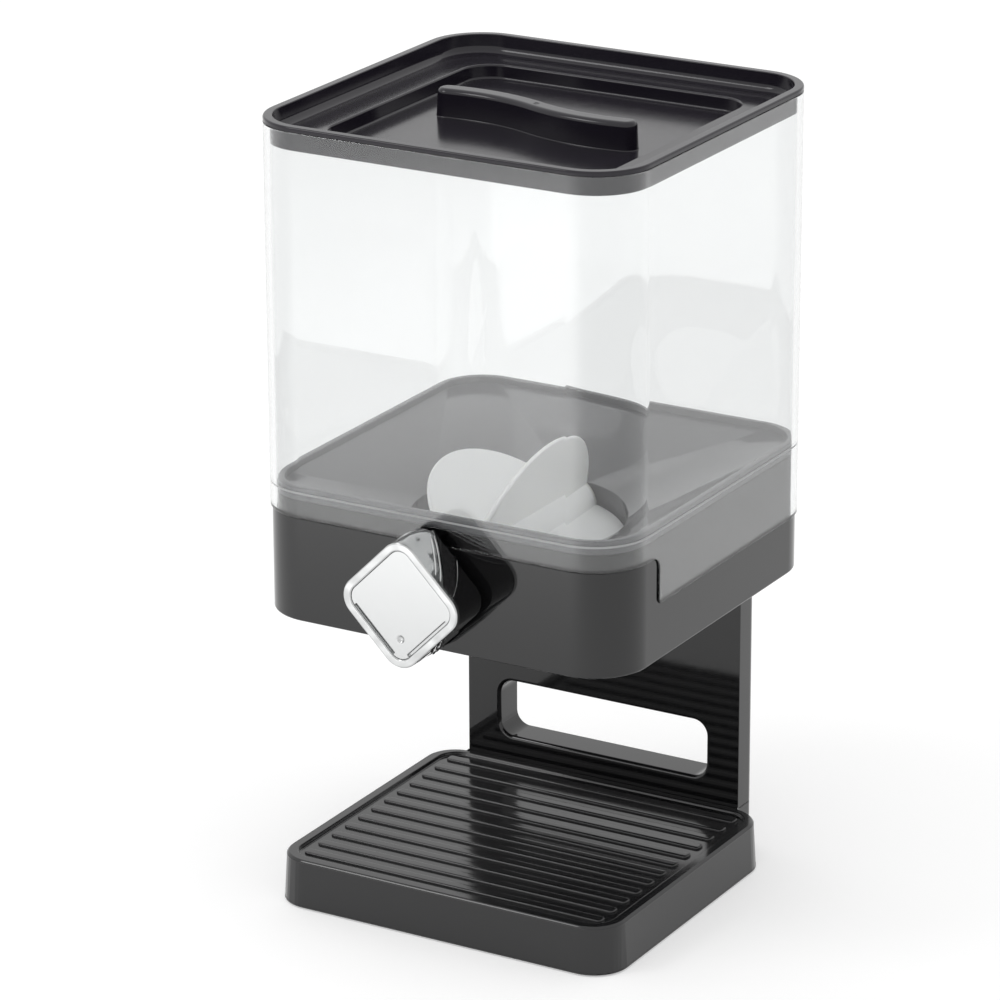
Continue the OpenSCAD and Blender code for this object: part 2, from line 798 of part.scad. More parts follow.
module base() {
    floor_z = base_h - tray_depth;
    floor_t = 2.2;
    foot_boss_r = foot_r + 2;
    tray_back = column_front - tray_back_rim;
    tray_front = -base_front + base_rim;
    tray_r = base_corner_r - base_rim;
    color([0.09, 0.09, 0.1])
        difference() {
            union() {
                difference() {
                    union() {
                        // tray block with sloping sides and an eased upper edge
                        hull() {
                            translate([0, 0, foot_out])
                                linear_extrude(skin)
                                    tray_outline(base_draft, 48);
                            translate([0, 0, base_h - 1])
                                linear_extrude(skin)
                                    tray_outline(0.05, 48);
                            translate([0, 0, base_h - 0.3])
                                linear_extrude(skin)
                                    tray_outline(-0.25, 48);
                            translate([0, 0, base_h - skin])
                                linear_extrude(skin)
                                    tray_outline(-0.9, 48);
                        }
                        translate([0, 0, foot_out])
                            linear_extrude(base_h - foot_out) {
                                column_outline(0);
                                translate([-column_w / 2, column_front - base_corner_r])
                                    square([column_w, base_corner_r + over]);
                            }
                    }
                    // room underneath
                    translate([0, 0, foot_out - over])
                        linear_extrude(floor_z - floor_t - foot_out + over)
                            tray_outline(-base_wall);
                    translate([0, 0, foot_out - over])
                        linear_extrude(base_h - 3 - foot_out + over)
                            column_outline(base_wall);
                    // tray
                    translate([0, (tray_back + tray_front) / 2, floor_z])
                        linear_extrude(tray_depth + over)
                            round_rect(base_w / 2 - base_rim, (tray_back - tray_front) / 2, tray_r);
                }
                for (i = [0 : ribs - 1])
                    translate([0, (tray_back + tray_front) / 2 + (i - (ribs - 1) / 2) * rib_pitch, floor_z])
                        tray_rib();
                at_feet()
                    translate([0, 0, foot_out])
                        cylinder(r = foot_boss_r, h = floor_z - foot_out - floor_t / 2);
            }
            at_feet()
                translate([0, 0, foot_out - over])
                    cylinder(r = foot_r + hold, h = foot_t - foot_out + over);
            at_column_screws()
                translate([0, 0, base_h - 3 - over])
                    cylinder(r = screw_r + slip, h = 3 + 2 * over, $fn = 24);
        }
}

module base_feet() {
    color([0.2, 0.2, 0.2])
        at_feet()
            cylinder(r = foot_r, h = foot_t - hold);
}

module base_screws() {
    color([0.6, 0.6, 0.62])
        at_column_screws()
            translate([0, 0, base_h - 3])
                screw();
}

module column() {
    bottom = base_h;
    height = stand_gap;
    cap = 3;
    color([0.08, 0.08, 0.09])
        difference() {
            union() {
                difference() {
                    translate([0, 0, bottom])
                        linear_extrude(height)
                            column_outline(0);
                    // room inside, open to the back
                    difference() {
                        translate([0, 0, bottom + cap])
                            linear_extrude(height - 2 * cap)
                                union() {
                                    column_outline(column_wall);
                                    translate([-column_w / 2 + column_edge_r, column_front + column_t / 2])
                                        square([column_w - 2 * column_edge_r, column_t]);
                                }
                        window_slab(column_wall, column_front - over, column_t + 2 * over);
                    }
                }
                // screw bosses, which reach from the caps into the room
                at_column_screws() {
                    translate([0, 0, bottom + cap - skin])
                        cylinder(r = boss_r, h = screw_l - 2);
                    translate([0, 0, bottom + height - cap - screw_l + 2])
                        cylinder(r = boss_r, h = screw_l - 2 + skin);
                }
            }
            window_slab(0, column_front - over, column_t + 2 * over);
            at_column_screws() {
                translate([0, 0, bottom - over])
                    cylinder(r = screw_r + hold, h = screw_l - 3 + hold + over, $fn = 24);
                translate([0, 0, bottom + height - screw_l + cover_t - hold])
                    cylinder(r = screw_r + hold, h = screw_l + over, $fn = 24);
            }
        }
}

// plate that closes the column from behind, with its own window
module column_back() {
    cap = 3;
    plate_t = 2;
    half = column_w / 2 - column_edge_r - hold;
    color([0.08, 0.08, 0.09])
        difference() {
            translate([-half, column_front + column_t - plate_t, base_h + cap + hold])
                cube([2 * half, plate_t, stand_gap - 2 * cap - 2 * hold]);
            window_slab(column_wall + hold, column_front, column_t + over);
        }
}

module column_screws() {
    color([0.6, 0.6, 0.62])
        at_column_screws()
            translate([0, 0, housing_z + cover_t])
                rotate([180, 0, 0])
                    screw();
}

canister();
lid();
housing();
bottom_cover();
cover_screws();
hopper();
knob_shell();
knob_face();
knob_core();
knob_screw();
drive_shaft();
front_bush();
rear_bush();
wheel_hub();
paddle_wheel();
column();
column_back();
column_screws();
base();
base_screws();
base_feet();
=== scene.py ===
"""Countertop cereal dispenser: finishes, modelled mouldings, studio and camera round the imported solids."""
import json
import math

import bmesh
import bpy
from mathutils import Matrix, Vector


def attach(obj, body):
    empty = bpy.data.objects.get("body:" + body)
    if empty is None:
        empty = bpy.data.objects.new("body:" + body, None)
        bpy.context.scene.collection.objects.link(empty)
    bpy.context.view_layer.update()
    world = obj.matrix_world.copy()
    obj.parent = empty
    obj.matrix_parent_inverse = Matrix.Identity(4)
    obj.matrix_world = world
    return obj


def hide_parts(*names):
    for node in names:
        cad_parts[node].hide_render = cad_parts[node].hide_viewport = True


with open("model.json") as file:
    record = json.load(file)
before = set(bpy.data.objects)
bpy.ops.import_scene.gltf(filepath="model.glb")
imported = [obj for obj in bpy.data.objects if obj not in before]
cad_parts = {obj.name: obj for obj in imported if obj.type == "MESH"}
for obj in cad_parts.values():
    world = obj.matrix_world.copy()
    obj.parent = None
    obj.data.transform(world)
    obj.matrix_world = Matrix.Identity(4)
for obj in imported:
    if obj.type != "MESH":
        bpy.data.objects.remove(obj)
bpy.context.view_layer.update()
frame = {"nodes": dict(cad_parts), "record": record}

MM = 0.001

BODY_OF = {
    node_name: body_name
    for body_name, node_names in frame["record"]["behaviour"]["bodies"].items()
    for node_name in node_names
}


# ---------------------------------------------------------------------------------------------
# Colour and node helpers


def srgb(text):
    """An sRGB hex colour as linear RGBA."""
    parts = [int(text[i:i + 2], 16) / 255 for i in (0, 2, 4)]
    linear = [c / 12.92 if c <= 0.04045 else ((c + 0.055) / 1.055) ** 2.4 for c in parts]
    return (*linear, 1.0)


def add_node(tree, kind, settings=None, **inputs):
    """One node with its settings, and its inputs set to a value or linked from an output socket."""
    node = tree.nodes.new(kind)
    for name, value in (settings or {}).items():
        setattr(node, name, value)
    for name, value in inputs.items():
        key = int(name[1:]) if name[0] == "i" and name[1:].isdigit() else name.replace("_", " ")
        socket = node.inputs[key]
        if isinstance(value, bpy.types.NodeSocket):
            tree.links.new(value, socket)
        else:
            socket.default_value = value
    return node


def new_material(name):
    """An empty node material and its tree."""
    material = bpy.data.materials.new(name)
    material.use_nodes = True
    material.node_tree.nodes.clear()
    return material, material.node_tree


def object_place(tree, size_mm):
    """Object coordinates scaled so that one unit of a pattern is size_mm millimetres."""
    place = add_node(tree, "ShaderNodeTexCoord").outputs["Object"]
    scale = 1.0 / size_mm / MM
    return add_node(tree, "ShaderNodeMapping", Vector=place, Scale=(scale, scale, scale)).outputs["Vector"]


def noise(tree, size_mm, detail):
    """Soft noise from 0 to 1 with a pattern size in millimetres."""
    place = object_place(tree, size_mm)
    return add_node(tree, "ShaderNodeTexNoise", Vector=place, Scale=1.0, Detail=detail).outputs["Fac"]


def bumped(tree, height, strength, depth_mm, **inputs):
    """The normal of a skin with a height pattern that is depth_mm millimetres deep at full strength."""
    bump = add_node(tree, "ShaderNodeBump", Height=height, Strength=strength, Distance=depth_mm * MM, **inputs)
    return bump.outputs["Normal"]


def larger(tree, first, second):
    """The larger of two values."""
    return add_node(tree, "ShaderNodeMath", {"operation": "MAXIMUM"}, i0=first, i1=second).outputs["Value"]


def principled(tree, colour, **inputs):
    """A principled shader with an sRGB hex base colour."""
    return add_node(tree, "ShaderNodeBsdfPrincipled", Base_Color=srgb(colour), **inputs).outputs["BSDF"]


def surface(tree, shader):
    """Put a shader on the material's surface."""
    add_node(tree, "ShaderNodeOutputMaterial", Surface=shader)


# ---------------------------------------------------------------------------------------------
# Finishes

ABS_IOR = 1.54
SAN_IOR = 1.57
SILICONE_IOR = 1.41


def moulded_abs(name, colour, roughness, ior=ABS_IOR):
    """Glossy injection-moulded ABS: near black, mirror-like, with the faint waviness of a moulded skin."""
    material, tree = new_material(name)
    rough = add_node(
        tree, "ShaderNodeMapRange",
        Value=noise(tree, size_mm=3.0, detail=4.0), From_Min=0.35, From_Max=0.75,
        To_Min=roughness, To_Max=roughness + 0.03,
    ).outputs["Result"]
    normal = bumped(tree, noise(tree, size_mm=14.0, detail=2.0), strength=0.02, depth_mm=0.4)
    surface(tree, principled(tree, colour, IOR=ior, Roughness=rough, Normal=normal))
    return material


def clear_san():
    """Water-clear SAN: polished, with faint flow waviness; rays that only carry light pass straight through."""
    material, tree = new_material("clear SAN")
    normal = bumped(tree, noise(tree, size_mm=45.0, detail=1.0), strength=0.02, depth_mm=0.5)
    plastic = principled(tree, "f1f2f2", IOR=SAN_IOR, Roughness=0.0, Transmission_Weight=1.0, Normal=normal)
    passing = add_node(tree, "ShaderNodeBsdfTransparent", Color=srgb("fafbfb")).outputs["BSDF"]
    path = add_node(tree, "ShaderNodeLightPath").outputs
    light_only = larger(tree, path["Is Shadow Ray"], path["Is Diffuse Ray"])
    surface(tree, add_node(tree, "ShaderNodeMixShader", Fac=light_only, i1=plastic, i2=passing).outputs["Shader"])
    return material


def painted_highlight_san():
    """The clear canister's plastic made pale, matt and only partly see-through: its pale colour is a painted
    highlight along the line where the canister sits on the rim.
    """
    material, tree = new_material("pale SAN, painted highlight")
    normal = bumped(tree, noise(tree, size_mm=0.5, detail=2.0), strength=0.1, depth_mm=0.05)
    surface(tree, principled(
        tree, "bdbdbe", IOR=SAN_IOR, Roughness=0.4, Transmission_Weight=0.25, Normal=normal
    ))
    return material


def chrome_plating(name, roughness, sink_mm=0.0):
    """Chromium over moulded plastic: metal that mirrors its surroundings, streaky where the moulding has sunk."""
    material, tree = new_material(name)
    uneven = noise(tree, size_mm=6.0, detail=3.0)
    rough = add_node(
        tree, "ShaderNodeMapRange", Value=uneven, To_Min=roughness, To_Max=roughness + 0.05
    ).outputs["Result"]
    normal = bumped(tree, uneven, strength=0.03, depth_mm=0.2)
    if sink_mm:
        normal = bumped(
            tree, noise(tree, size_mm=7.0, detail=0.0), strength=1.0, depth_mm=sink_mm, Normal=normal
        )
    surface(tree, principled(tree, "c0c1c1", Metallic=1.0, Roughness=rough, Normal=normal))
    return material


def silicone():
    """Milky food-grade silicone: soft satin skin that lets some light through."""
    material, tree = new_material("white silicone")
    normal = bumped(tree, noise(tree, size_mm=1.2, detail=3.0), strength=0.05, depth_mm=0.1)
    surface(tree, principled(
        tree, "fbfbfa", IOR=SILICONE_IOR, Roughness=0.38, Normal=normal,
        Subsurface_Weight=0.25, Subsurface_Radius=(0.004, 0.004, 0.0035), Subsurface_Scale=1.0,
    ))
    return material


def plain_moulding(name, colour, roughness, metallic=0.0, grain=0.15):
    """A small inner part: moulded or turned, with a fine grain in its surface."""
    material, tree = new_material(name)
    normal = bumped(tree, noise(tree, size_mm=0.8, detail=3.0), strength=grain, depth_mm=0.05)
    surface(tree, principled(tree, colour, IOR=1.5, Metallic=metallic, Roughness=roughness, Normal=normal))
    return material


FINISH = {
    "gloss": moulded_abs("gloss black ABS", "111112", 0.05),
    "base": moulded_abs("gloss black ABS, base", "1b1b1c", 0.12),
    "lid": moulded_abs("gloss black ABS, lid", "1b1820", 0.14, ior=1.46),
    "hopper": moulded_abs("black ABS, hopper", "565658", 0.07),
    "clear": clear_san(),
    # Pale plastic for the canister's seat line: its paleness is a painted highlight.
    "painted_highlight": painted_highlight_san(),
    "chrome": chrome_plating("chrome plating", 0.05, sink_mm=0.5),
    "plate": chrome_plating("satin chrome plating", 0.2),
    "silicone": silicone(),
    "nylon": plain_moulding("white nylon", "d8d8d2", 0.4),
    "steel": plain_moulding("ground steel", "a8a8ac", 0.3, metallic=1.0),
    "zinc": plain_moulding("zinc-plated steel", "b4b6ba", 0.35, metallic=1.0),
    "rubber": plain_moulding("black rubber", "1e1e1e", 0.7, grain=0.4),
}

NODE_FINISH = {
    "canister": "clear", "lid": "lid", "housing": "gloss", "bottom_cover": "gloss", "cover_screws": "zinc",
    "hopper": "hopper", "knob_shell": "chrome", "knob_face": "plate", "knob_core": "gloss",
    "knob_screw": "zinc", "drive_shaft": "steel", "front_bush": "nylon", "rear_bush": "nylon",
    "wheel_hub": "nylon", "paddle_wheel": "silicone", "column": "gloss", "column_back": "gloss",
    "column_screws": "zinc", "base": "base", "base_screws": "zinc", "base_feet": "rubber",
}


def dress_node(name, finish):
    """Give a CAD node its finish through its own material slots."""
    node = frame["nodes"][name]
    if not node.material_slots:
        node.data.materials.append(FINISH[finish])
    for material_slot in node.material_slots:
        material_slot.material = FINISH[finish]


for cad_name, finish_name in NODE_FINISH.items():
    dress_node(cad_name, finish_name)


# ---------------------------------------------------------------------------------------------
# Levels and plan sizes in millimetres, the part's own apart from the edge radii, the knob's clearance and the
# raised lines. An inset runs inwards from the body's outer wall.

BODY_HALF = 85.0
BODY_BACK = 11.5
BODY_CORNER = 24.0

LID_Z = 331.3
LID_TOP = 333.3
LID_WALL = 1.8
LEDGE_Z = 325.3
PAN_Z = 319.8
PAN_INSET = 21.6
PAN_CORNER = 13.0
SKIRT_INSET = 2.8
SKIRT_Z = 323.3
HANDLE_HALF_L = 48.0
HANDLE_HALF_T = 4.8
HANDLE_H = 11.5
HANDLE_WAVE = 5.8
HANDLE_BULGE_X = 30.0

HOUSING_Z = 128.0
HOUSING_INSET = 0.8
RIM_INSET = 3.0
RIM_Z = 182.0

AXIS_Z = 154.0
KNOB_HALF = 21.0
KNOB_CORNER = 9.0
KNOB_FACE = -96.5
KNOB_BACK = -74.5
KNOB_CLEAR = 2.2
# Arcs along the knob's slanting sides: radius, half width at the back and half width at the face.
CORE_ARC = (50.0, 12.5, 23.3)
SHELL_ARC = (85.0, 2.5, 20.3)
# Raised lines on those sides: shift inside the arc, radius, sink under the skin, more sink at the ends, first and
# last place along the axis.
# The plated line on the core is a painted highlight: it stands in for light caught along the edge of the core's
# step.
CORE_HIGHLIGHT_LINES = ((0.0, 0.2, 0.0, 0.0, -93.6, -76.9),)
SKIRT_BEADS = ((1.4, 0.9, 0.55, 0.5, -93.5, -78.0), (3.6, 0.9, 0.55, 0.5, -93.5, -79.0))

COLUMN_FRONT = 66.5
WINDOW_HALF_W = 50.0
WINDOW_LOW = 31.8
WINDOW_HIGH = 57.1

TRAY_Z = 19.8
TRAY_HALF_W = 73.5
TRAY_FRONT = -64.5
TRAY_BACK = 62.9
TRAY_LIP_MIN = 1.2
RIB_COUNT = 12
RIB_PITCH = 10.4
RIB_HALF_L = 70.0
RIB_HALF_W = 2.4
RIB_CORNER = 1.6
RIB_EDGE = 0.7
RIB_H = 1.0

# A point counts as on a level or inside a limit within this.
NEAR = 0.01
# Moulded edges are eased where their faces meet at this angle or more, in degrees.
EASE_FROM = 35


# ---------------------------------------------------------------------------------------------
# Mesh helpers, in millimetres until the mesh is made


def rounded_square(half_x, half_y, r, steps=14):
    """Corner points of a rounded rectangle round the origin, anticlockwise."""
    points = []
    for turn, sx, sy in ((0, 1, 1), (90, -1, 1), (180, -1, -1), (270, 1, -1)):
        for i in range(steps + 1):
            a = math.radians(turn + 90 * i / steps)
            points.append((sx * (half_x - r) + r * math.cos(a), sy * (half_y - r) + r * math.sin(a)))
    return points


def full_turn(steps):
    """Angles once round a circle."""
    return [math.radians(360 * k / steps) for k in range(steps)]


def rounded_path(corners, steps=5):
    """A flat path through (u, v, radius) corners, each rounded to its radius."""
    path = [corners[0][:2]]
    for before, here, after in zip(corners, corners[1:], corners[2:]):
        (bu, bv), (u, v, r), (au, av) = before[:2], here, after[:2]
        if r == 0:
            path.append((u, v))
            continue
        in_l, out_l = math.hypot(bu - u, bv - v), math.hypot(au - u, av - v)
        iu, iv, ou, ov = (bu - u) / in_l, (bv - v) / in_l, (au - u) / out_l, (av - v) / out_l
        half = math.acos(max(-1.0, min(1.0, iu * ou + iv * ov))) / 2
        reach = r / math.tan(half)
        mid_l = math.hypot(iu + ou, iv + ov)
        cu, cv = (u + (iu + ou) / mid_l * r / math.sin(half), v + (iv + ov) / mid_l * r / math.sin(half))
        start = math.atan2(v + iv * reach - cv, u + iu * reach - cu)
        sweep = math.atan2(v + ov * reach - cv, u + ou * reach - cu) - start
        sweep = (sweep + math.pi) % (2 * math.pi) - math.pi
        for i in range(steps + 1):
            a = start + sweep * i / steps
            path.append((cu + r * math.cos(a), cv + r * math.sin(a)))
    path.append(corners[-1][:2])
    return path


def loft(bm, rings, closed=False):
    """Quads between rings of equal length; both end rings are filled unless the loft is closed."""
    rows = [[bm.verts.new([c * MM for c in point]) for point in ring] for ring in rings]
    pairs = list(zip(rows, rows[1:])) + ([(rows[-1], rows[0])] if closed else [])
    for low, high in pairs:
        for i in range(len(low)):
            j = (i + 1) % len(low)
            bm.faces.new((low[i], low[j], high[j], high[i]))
    if not closed:
        bm.faces.new(reversed(rows[0]))
        bm.faces.new(rows[-1])


def cad_copy(name, flat=0.6):
    """A merged copy of a CAD node's mesh, its faces joined again where they are flat within flat degrees."""
    bm = bmesh.new()
    bm.from_mesh(frame["nodes"][name].data)
    bmesh.ops.remove_doubles(bm, verts=bm.verts, dist=0.004 * MM)
    bmesh.ops.dissolve_limit(
        bm, angle_limit=math.radians(flat), verts=bm.verts, edges=bm.edges,
        delimit=set(), use_dissolve_boundaries=False,
    )
    return bm


def round_edges(bm, is_there, width):
    """Round the edges whose two ends are both where is_there(point in millimetres) says."""
    picked = [e for e in bm.edges if all(is_there(v.co / MM) for v in e.verts)]
    bmesh.ops.bevel(
        bm, geom=picked, offset=width * MM, offset_type="OFFSET", segments=5, profile=0.5,
        affect="EDGES", clamp_overlap=False,
    )


def mesh_from(name, bm):
    """A mesh from a bmesh, with its faces turned outwards."""
    bmesh.ops.recalc_face_normals(bm, faces=bm.faces)
    mesh = bpy.data.meshes.new(name)
    bm.to_mesh(mesh)
    bm.free()
    return mesh


def shade(mesh, sharp_from=None):
    """Smooth shading, kept sharp at edges from sharp_from degrees if that is given."""
    mesh.shade_smooth()
    if sharp_from:
        mesh.set_sharp_from_angle(angle=math.radians(sharp_from))


def add_object(name, data):
    """A new object in the scene."""
    thing = bpy.data.objects.new(name, data)
    bpy.context.scene.collection.objects.link(thing)
    return thing


def bake_modifiers(piece):
    """Turn what the modifiers make into the piece's own plain mesh."""
    graph = bpy.context.evaluated_depsgraph_get()
    made = bpy.data.meshes.new_from_object(piece.evaluated_get(graph), depsgraph=graph)
    piece.modifiers.clear()
    piece.data = made


def as_piece(name, bm, finish, nodes, bevel=0.0, segments=3, sharp_from=40):
    """A finished object from a mesh: eased edges, even shading, its finish, standing for CAD nodes."""
    piece = add_object(name, mesh_from(name, bm))
    if bevel:
        ease = piece.modifiers.new("eased edges", "BEVEL")
        ease.width = bevel * MM
        ease.segments = segments
        ease.limit_method = "ANGLE"
        ease.angle_limit = math.radians(EASE_FROM)
        ease.use_clamp_overlap = False
        ease.miter_outer = "MITER_ARC"
        bake_modifiers(piece)
    shade(piece.data, sharp_from)
    weigh = piece.modifiers.new("even shading", "WEIGHTED_NORMAL")
    weigh.keep_sharp = True
    weigh.weight = 60
    bake_modifiers(piece)
    piece.data.materials.clear()
    piece.data.materials.append(FINISH[finish])
    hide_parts(*nodes)
    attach(piece, BODY_OF[nodes[0]])


def trim_piece(name, bm, finish, sharp_from=None):
    """A small added piece from a mesh, with its finish; the caller lets it ride with a body."""
    piece = add_object(name, mesh_from(name, bm))
    shade(piece.data, sharp_from)
    piece.data.materials.append(FINISH[finish])
    return piece


def body_ring(inset, z, corner=None):
    """The body's outline moved inwards by inset, at level z."""
    r = BODY_CORNER - inset if corner is None else corner
    half = BODY_HALF - inset
    return [(x, y + BODY_BACK, z) for x, y in rounded_square(half, half, r)]


# ---------------------------------------------------------------------------------------------
# Lid


def lid_corner(inset):
    """Corner radius of the lid's section at an inset, from the outer wall to the pan."""
    wall_in = SKIRT_INSET + LID_WALL
    pan_out = PAN_INSET - LID_WALL
    if inset <= wall_in:
        return BODY_CORNER - inset
    if inset >= pan_out:
        return PAN_CORNER - (inset - PAN_INSET)
    share = (inset - wall_in) / (pan_out - wall_in)
    return (BODY_CORNER - wall_in) * (1 - share) + (PAN_CORNER + LID_WALL) * share


def handle_loop(half_t, z):
    """The handle blade's outline at half thickness half_t: its S-shaped middle line with round ends."""
    arc_r = (HANDLE_BULGE_X ** 2 + HANDLE_WAVE ** 2) / (2 * HANDLE_WAVE)
    end_x = HANDLE_HALF_L - HANDLE_HALF_T
    half_steps = 40
    end_steps = 12
    line = []
    for i in range(-half_steps, half_steps + 1):
        x = end_x * i / half_steps
        side = 1 if x >= 0 else -1
        run = abs(x) - HANDLE_BULGE_X
        rise = math.sqrt(arc_r ** 2 - run ** 2)
        line.append((x, side * (arc_r - HANDLE_WAVE - rise), run / rise))

    def offset_line(distance):
        """The middle line moved sideways by a distance."""
        moved = []
        for x, y, slope in line:
            length = math.hypot(1, slope)
            moved.append((x - slope / length * distance, y + 1 / length * distance))
        return moved

    def round_end(point, turn):
        """The round end about one end of the middle line, from a turn in degrees on."""
        x, y, slope = point
        lean = math.degrees(math.atan(slope))
        turns = [math.radians(lean + turn + 180 * i / end_steps) for i in range(1, end_steps)]
        return [(x + half_t * math.cos(a), y + half_t * math.sin(a)) for a in turns]

    near, far = offset_line(-half_t), offset_line(half_t)
    loop = near + round_end(line[-1], -90) + far[::-1] + round_end(line[0], 90)
    return [(x, y + BODY_BACK, z) for x, y in loop]


def build_lid():
    """Lid in one moulding: flange, skirt, coved ledge, pan, and finger blade with its gate mark."""
    bm = bmesh.new()
    wall_in = SKIRT_INSET + LID_WALL
    pan_out = PAN_INSET - LID_WALL
    ledge_under = LEDGE_Z - LID_WALL
    pan_under = PAN_Z - LID_WALL
    section = rounded_path([
        (PAN_INSET + 4, PAN_Z, 0),
        (PAN_INSET + 0.3, PAN_Z, 1.2),
        (PAN_INSET, LEDGE_Z + 0.6, 0.9),
        (wall_in, LEDGE_Z - 0.1, 3.4),
        (wall_in - 0.8, LID_TOP, 0.4),
        (0, LID_TOP, 0.8),
        (0, LID_Z, 0.25),
        (SKIRT_INSET, LID_Z, 0),
        (SKIRT_INSET, SKIRT_Z, 0.4),
        (wall_in, SKIRT_Z, 0),
        (wall_in + 0.3, ledge_under, 0),
        (pan_out, ledge_under, 0.8),
        (pan_out, pan_under, 1.2),
        (PAN_INSET + 4, pan_under, 0),
    ])
    loft(bm, [body_ring(inset, z, lid_corner(inset)) for inset, z in section])
    blade = rounded_path([
        (HANDLE_HALF_T + 1.1, -0.3, 0),
        (HANDLE_HALF_T + 0.15, 0.0, 0.7),
        (HANDLE_HALF_T - 0.4, HANDLE_H, 2.2),
        (1.6, HANDLE_H, 0),
    ], steps=7)
    loft(bm, [handle_loop(half_t, PAN_Z + z) for half_t, z in blade])
    top = PAN_Z + HANDLE_H
    gate_turns = full_turn(24)
    gate = [(1.3, top - 0.1), (1.2, top + 0.12), (0.8, top + 0.12), (0.7, top - 0.1)]
    loft(bm, [
        [(r * math.cos(a), BODY_BACK + r * math.sin(a), z) for a in gate_turns] for r, z in gate
    ], closed=True)
    as_piece("lid_moulding", bm, "lid", ["lid"])


# ---------------------------------------------------------------------------------------------
# Canister, housing and hopper


def build_canister():
    """Clear canister: its cut edges eased, so that they catch light as moulded ones do."""
    as_piece("canister_moulding", cad_copy("canister"), "clear", ["canister"], bevel=0.45)


def build_housing():
    """Housing with its rounded lower edge."""
    bm = cad_copy("housing")
    outline_from = BODY_HALF - HOUSING_INSET - BODY_CORNER * 0.32

    def low_outline(p):
        """True on the outer outline at the housing's lower level."""
        return max(abs(p.x), abs(p.y - BODY_BACK)) > outline_from and abs(p.z - HOUSING_Z) < NEAR

    round_edges(bm, low_outline, 1.0)
    as_piece("housing_moulding", bm, "gloss", ["housing"], bevel=0.4)


def ring_piece(name, section, finish, body):
    """A ring round the body's outline with the given (inset, z) section, riding with a body."""
    bm = bmesh.new()
    loft(bm, [body_ring(inset, z) for inset, z in section], closed=True)
    ring = trim_piece(name, bm, finish, sharp_from=50)
    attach(ring, body)


def build_hopper():
    """Hopper with eased edges, a raised bead along its rim, and the canister's seat line in front of the rim, its
    pale colour a painted highlight.
    """
    as_piece("hopper_moulding", cad_copy("hopper", flat=0.2), "hopper", ["hopper"], bevel=0.4)
    foot, top = RIM_Z - 0.3, RIM_Z + 2.6
    bead = rounded_path([
        (RIM_INSET + 1.6, foot, 0),
        (RIM_INSET + 0.1, foot, 0),
        (RIM_INSET + 0.1, top, 0.6),
        (RIM_INSET + 3.0, top, 0.6),
        (RIM_INSET + 3.2, foot, 0),
    ])
    ring_piece("hopper_rim_bead", bead, "hopper", BODY_OF["hopper"])
    low, high = RIM_Z - 0.1, RIM_Z + 0.7
    seat = rounded_path([
        (RIM_INSET - 0.35, low, 0),
        (RIM_INSET - 0.52, low, 0),
        (RIM_INSET - 0.52, high, 0),
        (RIM_INSET - 0.06, high, 0.25),
        (RIM_INSET - 0.06, low, 0.25),
        (RIM_INSET - 0.3, low, 0),
    ])
    # The pale seat line rides with the canister and paints in the highlight along the line where the canister sits
    # on the rim.
    ring_piece("canister_seat_line", seat, "painted_highlight", BODY_OF["canister"])


# ---------------------------------------------------------------------------------------------
# Knob and wheel


def build_knob():
    """Knob: plated shell, face plate and black core, each with its own edge radius, a little off the housing."""
    shell, core = cad_copy("knob_shell"), cad_copy("knob_core")
    for bm in (shell, core):
        for v in bm.verts:
            if abs(v.co.y / MM - KNOB_BACK) < NEAR:
                v.co.y -= KNOB_CLEAR * MM
    as_piece("knob_shell_plating", shell, "chrome", ["knob_shell"], bevel=0.7, segments=5)
    as_piece("knob_face_plate", cad_copy("knob_face"), "plate", ["knob_face"], bevel=0.3)
    as_piece("knob_core_moulding", core, "gloss", ["knob_core"], bevel=0.25)


def knob_line_point(arc, y, shift, sink):
    """A point (x, z) on the knob's upper right side, shift inside an arc of its skirt and sink under its skin."""
    arc_r, back_half, face_half = arc
    run = KNOB_BACK - KNOB_FACE
    chord = math.hypot(face_half - back_half, run)
    side = math.sqrt(arc_r ** 2 - chord ** 2 / 4)
    cx = (back_half + face_half) / 2 - side * run / chord
    cy = (KNOB_BACK + KNOB_FACE) / 2 - side * (face_half - back_half) / chord
    x = cx + math.sqrt(arc_r ** 2 - (y - cy) ** 2) - shift
    if x < KNOB_CORNER / math.sqrt(2):
        lean = math.asin(x / KNOB_CORNER)
        z = (KNOB_HALF - KNOB_CORNER) * math.sqrt(2) + math.sqrt(KNOB_CORNER ** 2 - x ** 2)
    else:
        lean = math.radians(45)
        z = KNOB_HALF * math.sqrt(2) - x
    return x - sink * math.sin(lean), z - sink * math.cos(lean)


def build_knob_lines(name, node, finish, arc, lines):
    """Raised lines along an arc on the knob's four slanting sides; lines is CORE_HIGHLIGHT_LINES or SKIRT_BEADS."""
    bm = bmesh.new()
    steps = 30
    turns = full_turn(14)
    for sx, sz in ((1, 1), (1, -1), (-1, 1), (-1, -1)):
        for shift, r, sink, fade, start, end in lines:
            rings = []
            for i in range(steps + 1):
                y = start + (end - start) * i / steps
                x, z = knob_line_point(arc, y, shift, sink + fade * (2 * i / steps - 1) ** 4)
                rings.append([
                    (sx * (x + r * math.cos(a)), y + r * math.sin(a), AXIS_Z + sz * (z + r * math.cos(a)))
                    for a in turns
                ])
            loft(bm, rings)
    piece = trim_piece(name, bm, finish)
    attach(piece, BODY_OF[node])


def build_wheel():
    """Paddle wheel with evenly shaded blades."""
    wheel = cad_copy("paddle_wheel", flat=0.3)
    as_piece("paddle_wheel_moulding", wheel, "silicone", ["paddle_wheel"], sharp_from=50)


# ---------------------------------------------------------------------------------------------
# Stand


def build_column():
    """Column whose window has a broad rounded front edge."""
    bm = cad_copy("column")

    def window_front(p):
        """True on the window's outline in the column's front face."""
        in_height = WINDOW_LOW - NEAR < p.z < WINDOW_HIGH + NEAR
        return abs(p.y - COLUMN_FRONT) < NEAR and abs(p.x) < WINDOW_HALF_W + NEAR and in_height

    round_edges(bm, window_front, 1.6)
    as_piece("column_moulding", bm, "gloss", ["column"], bevel=0.35)


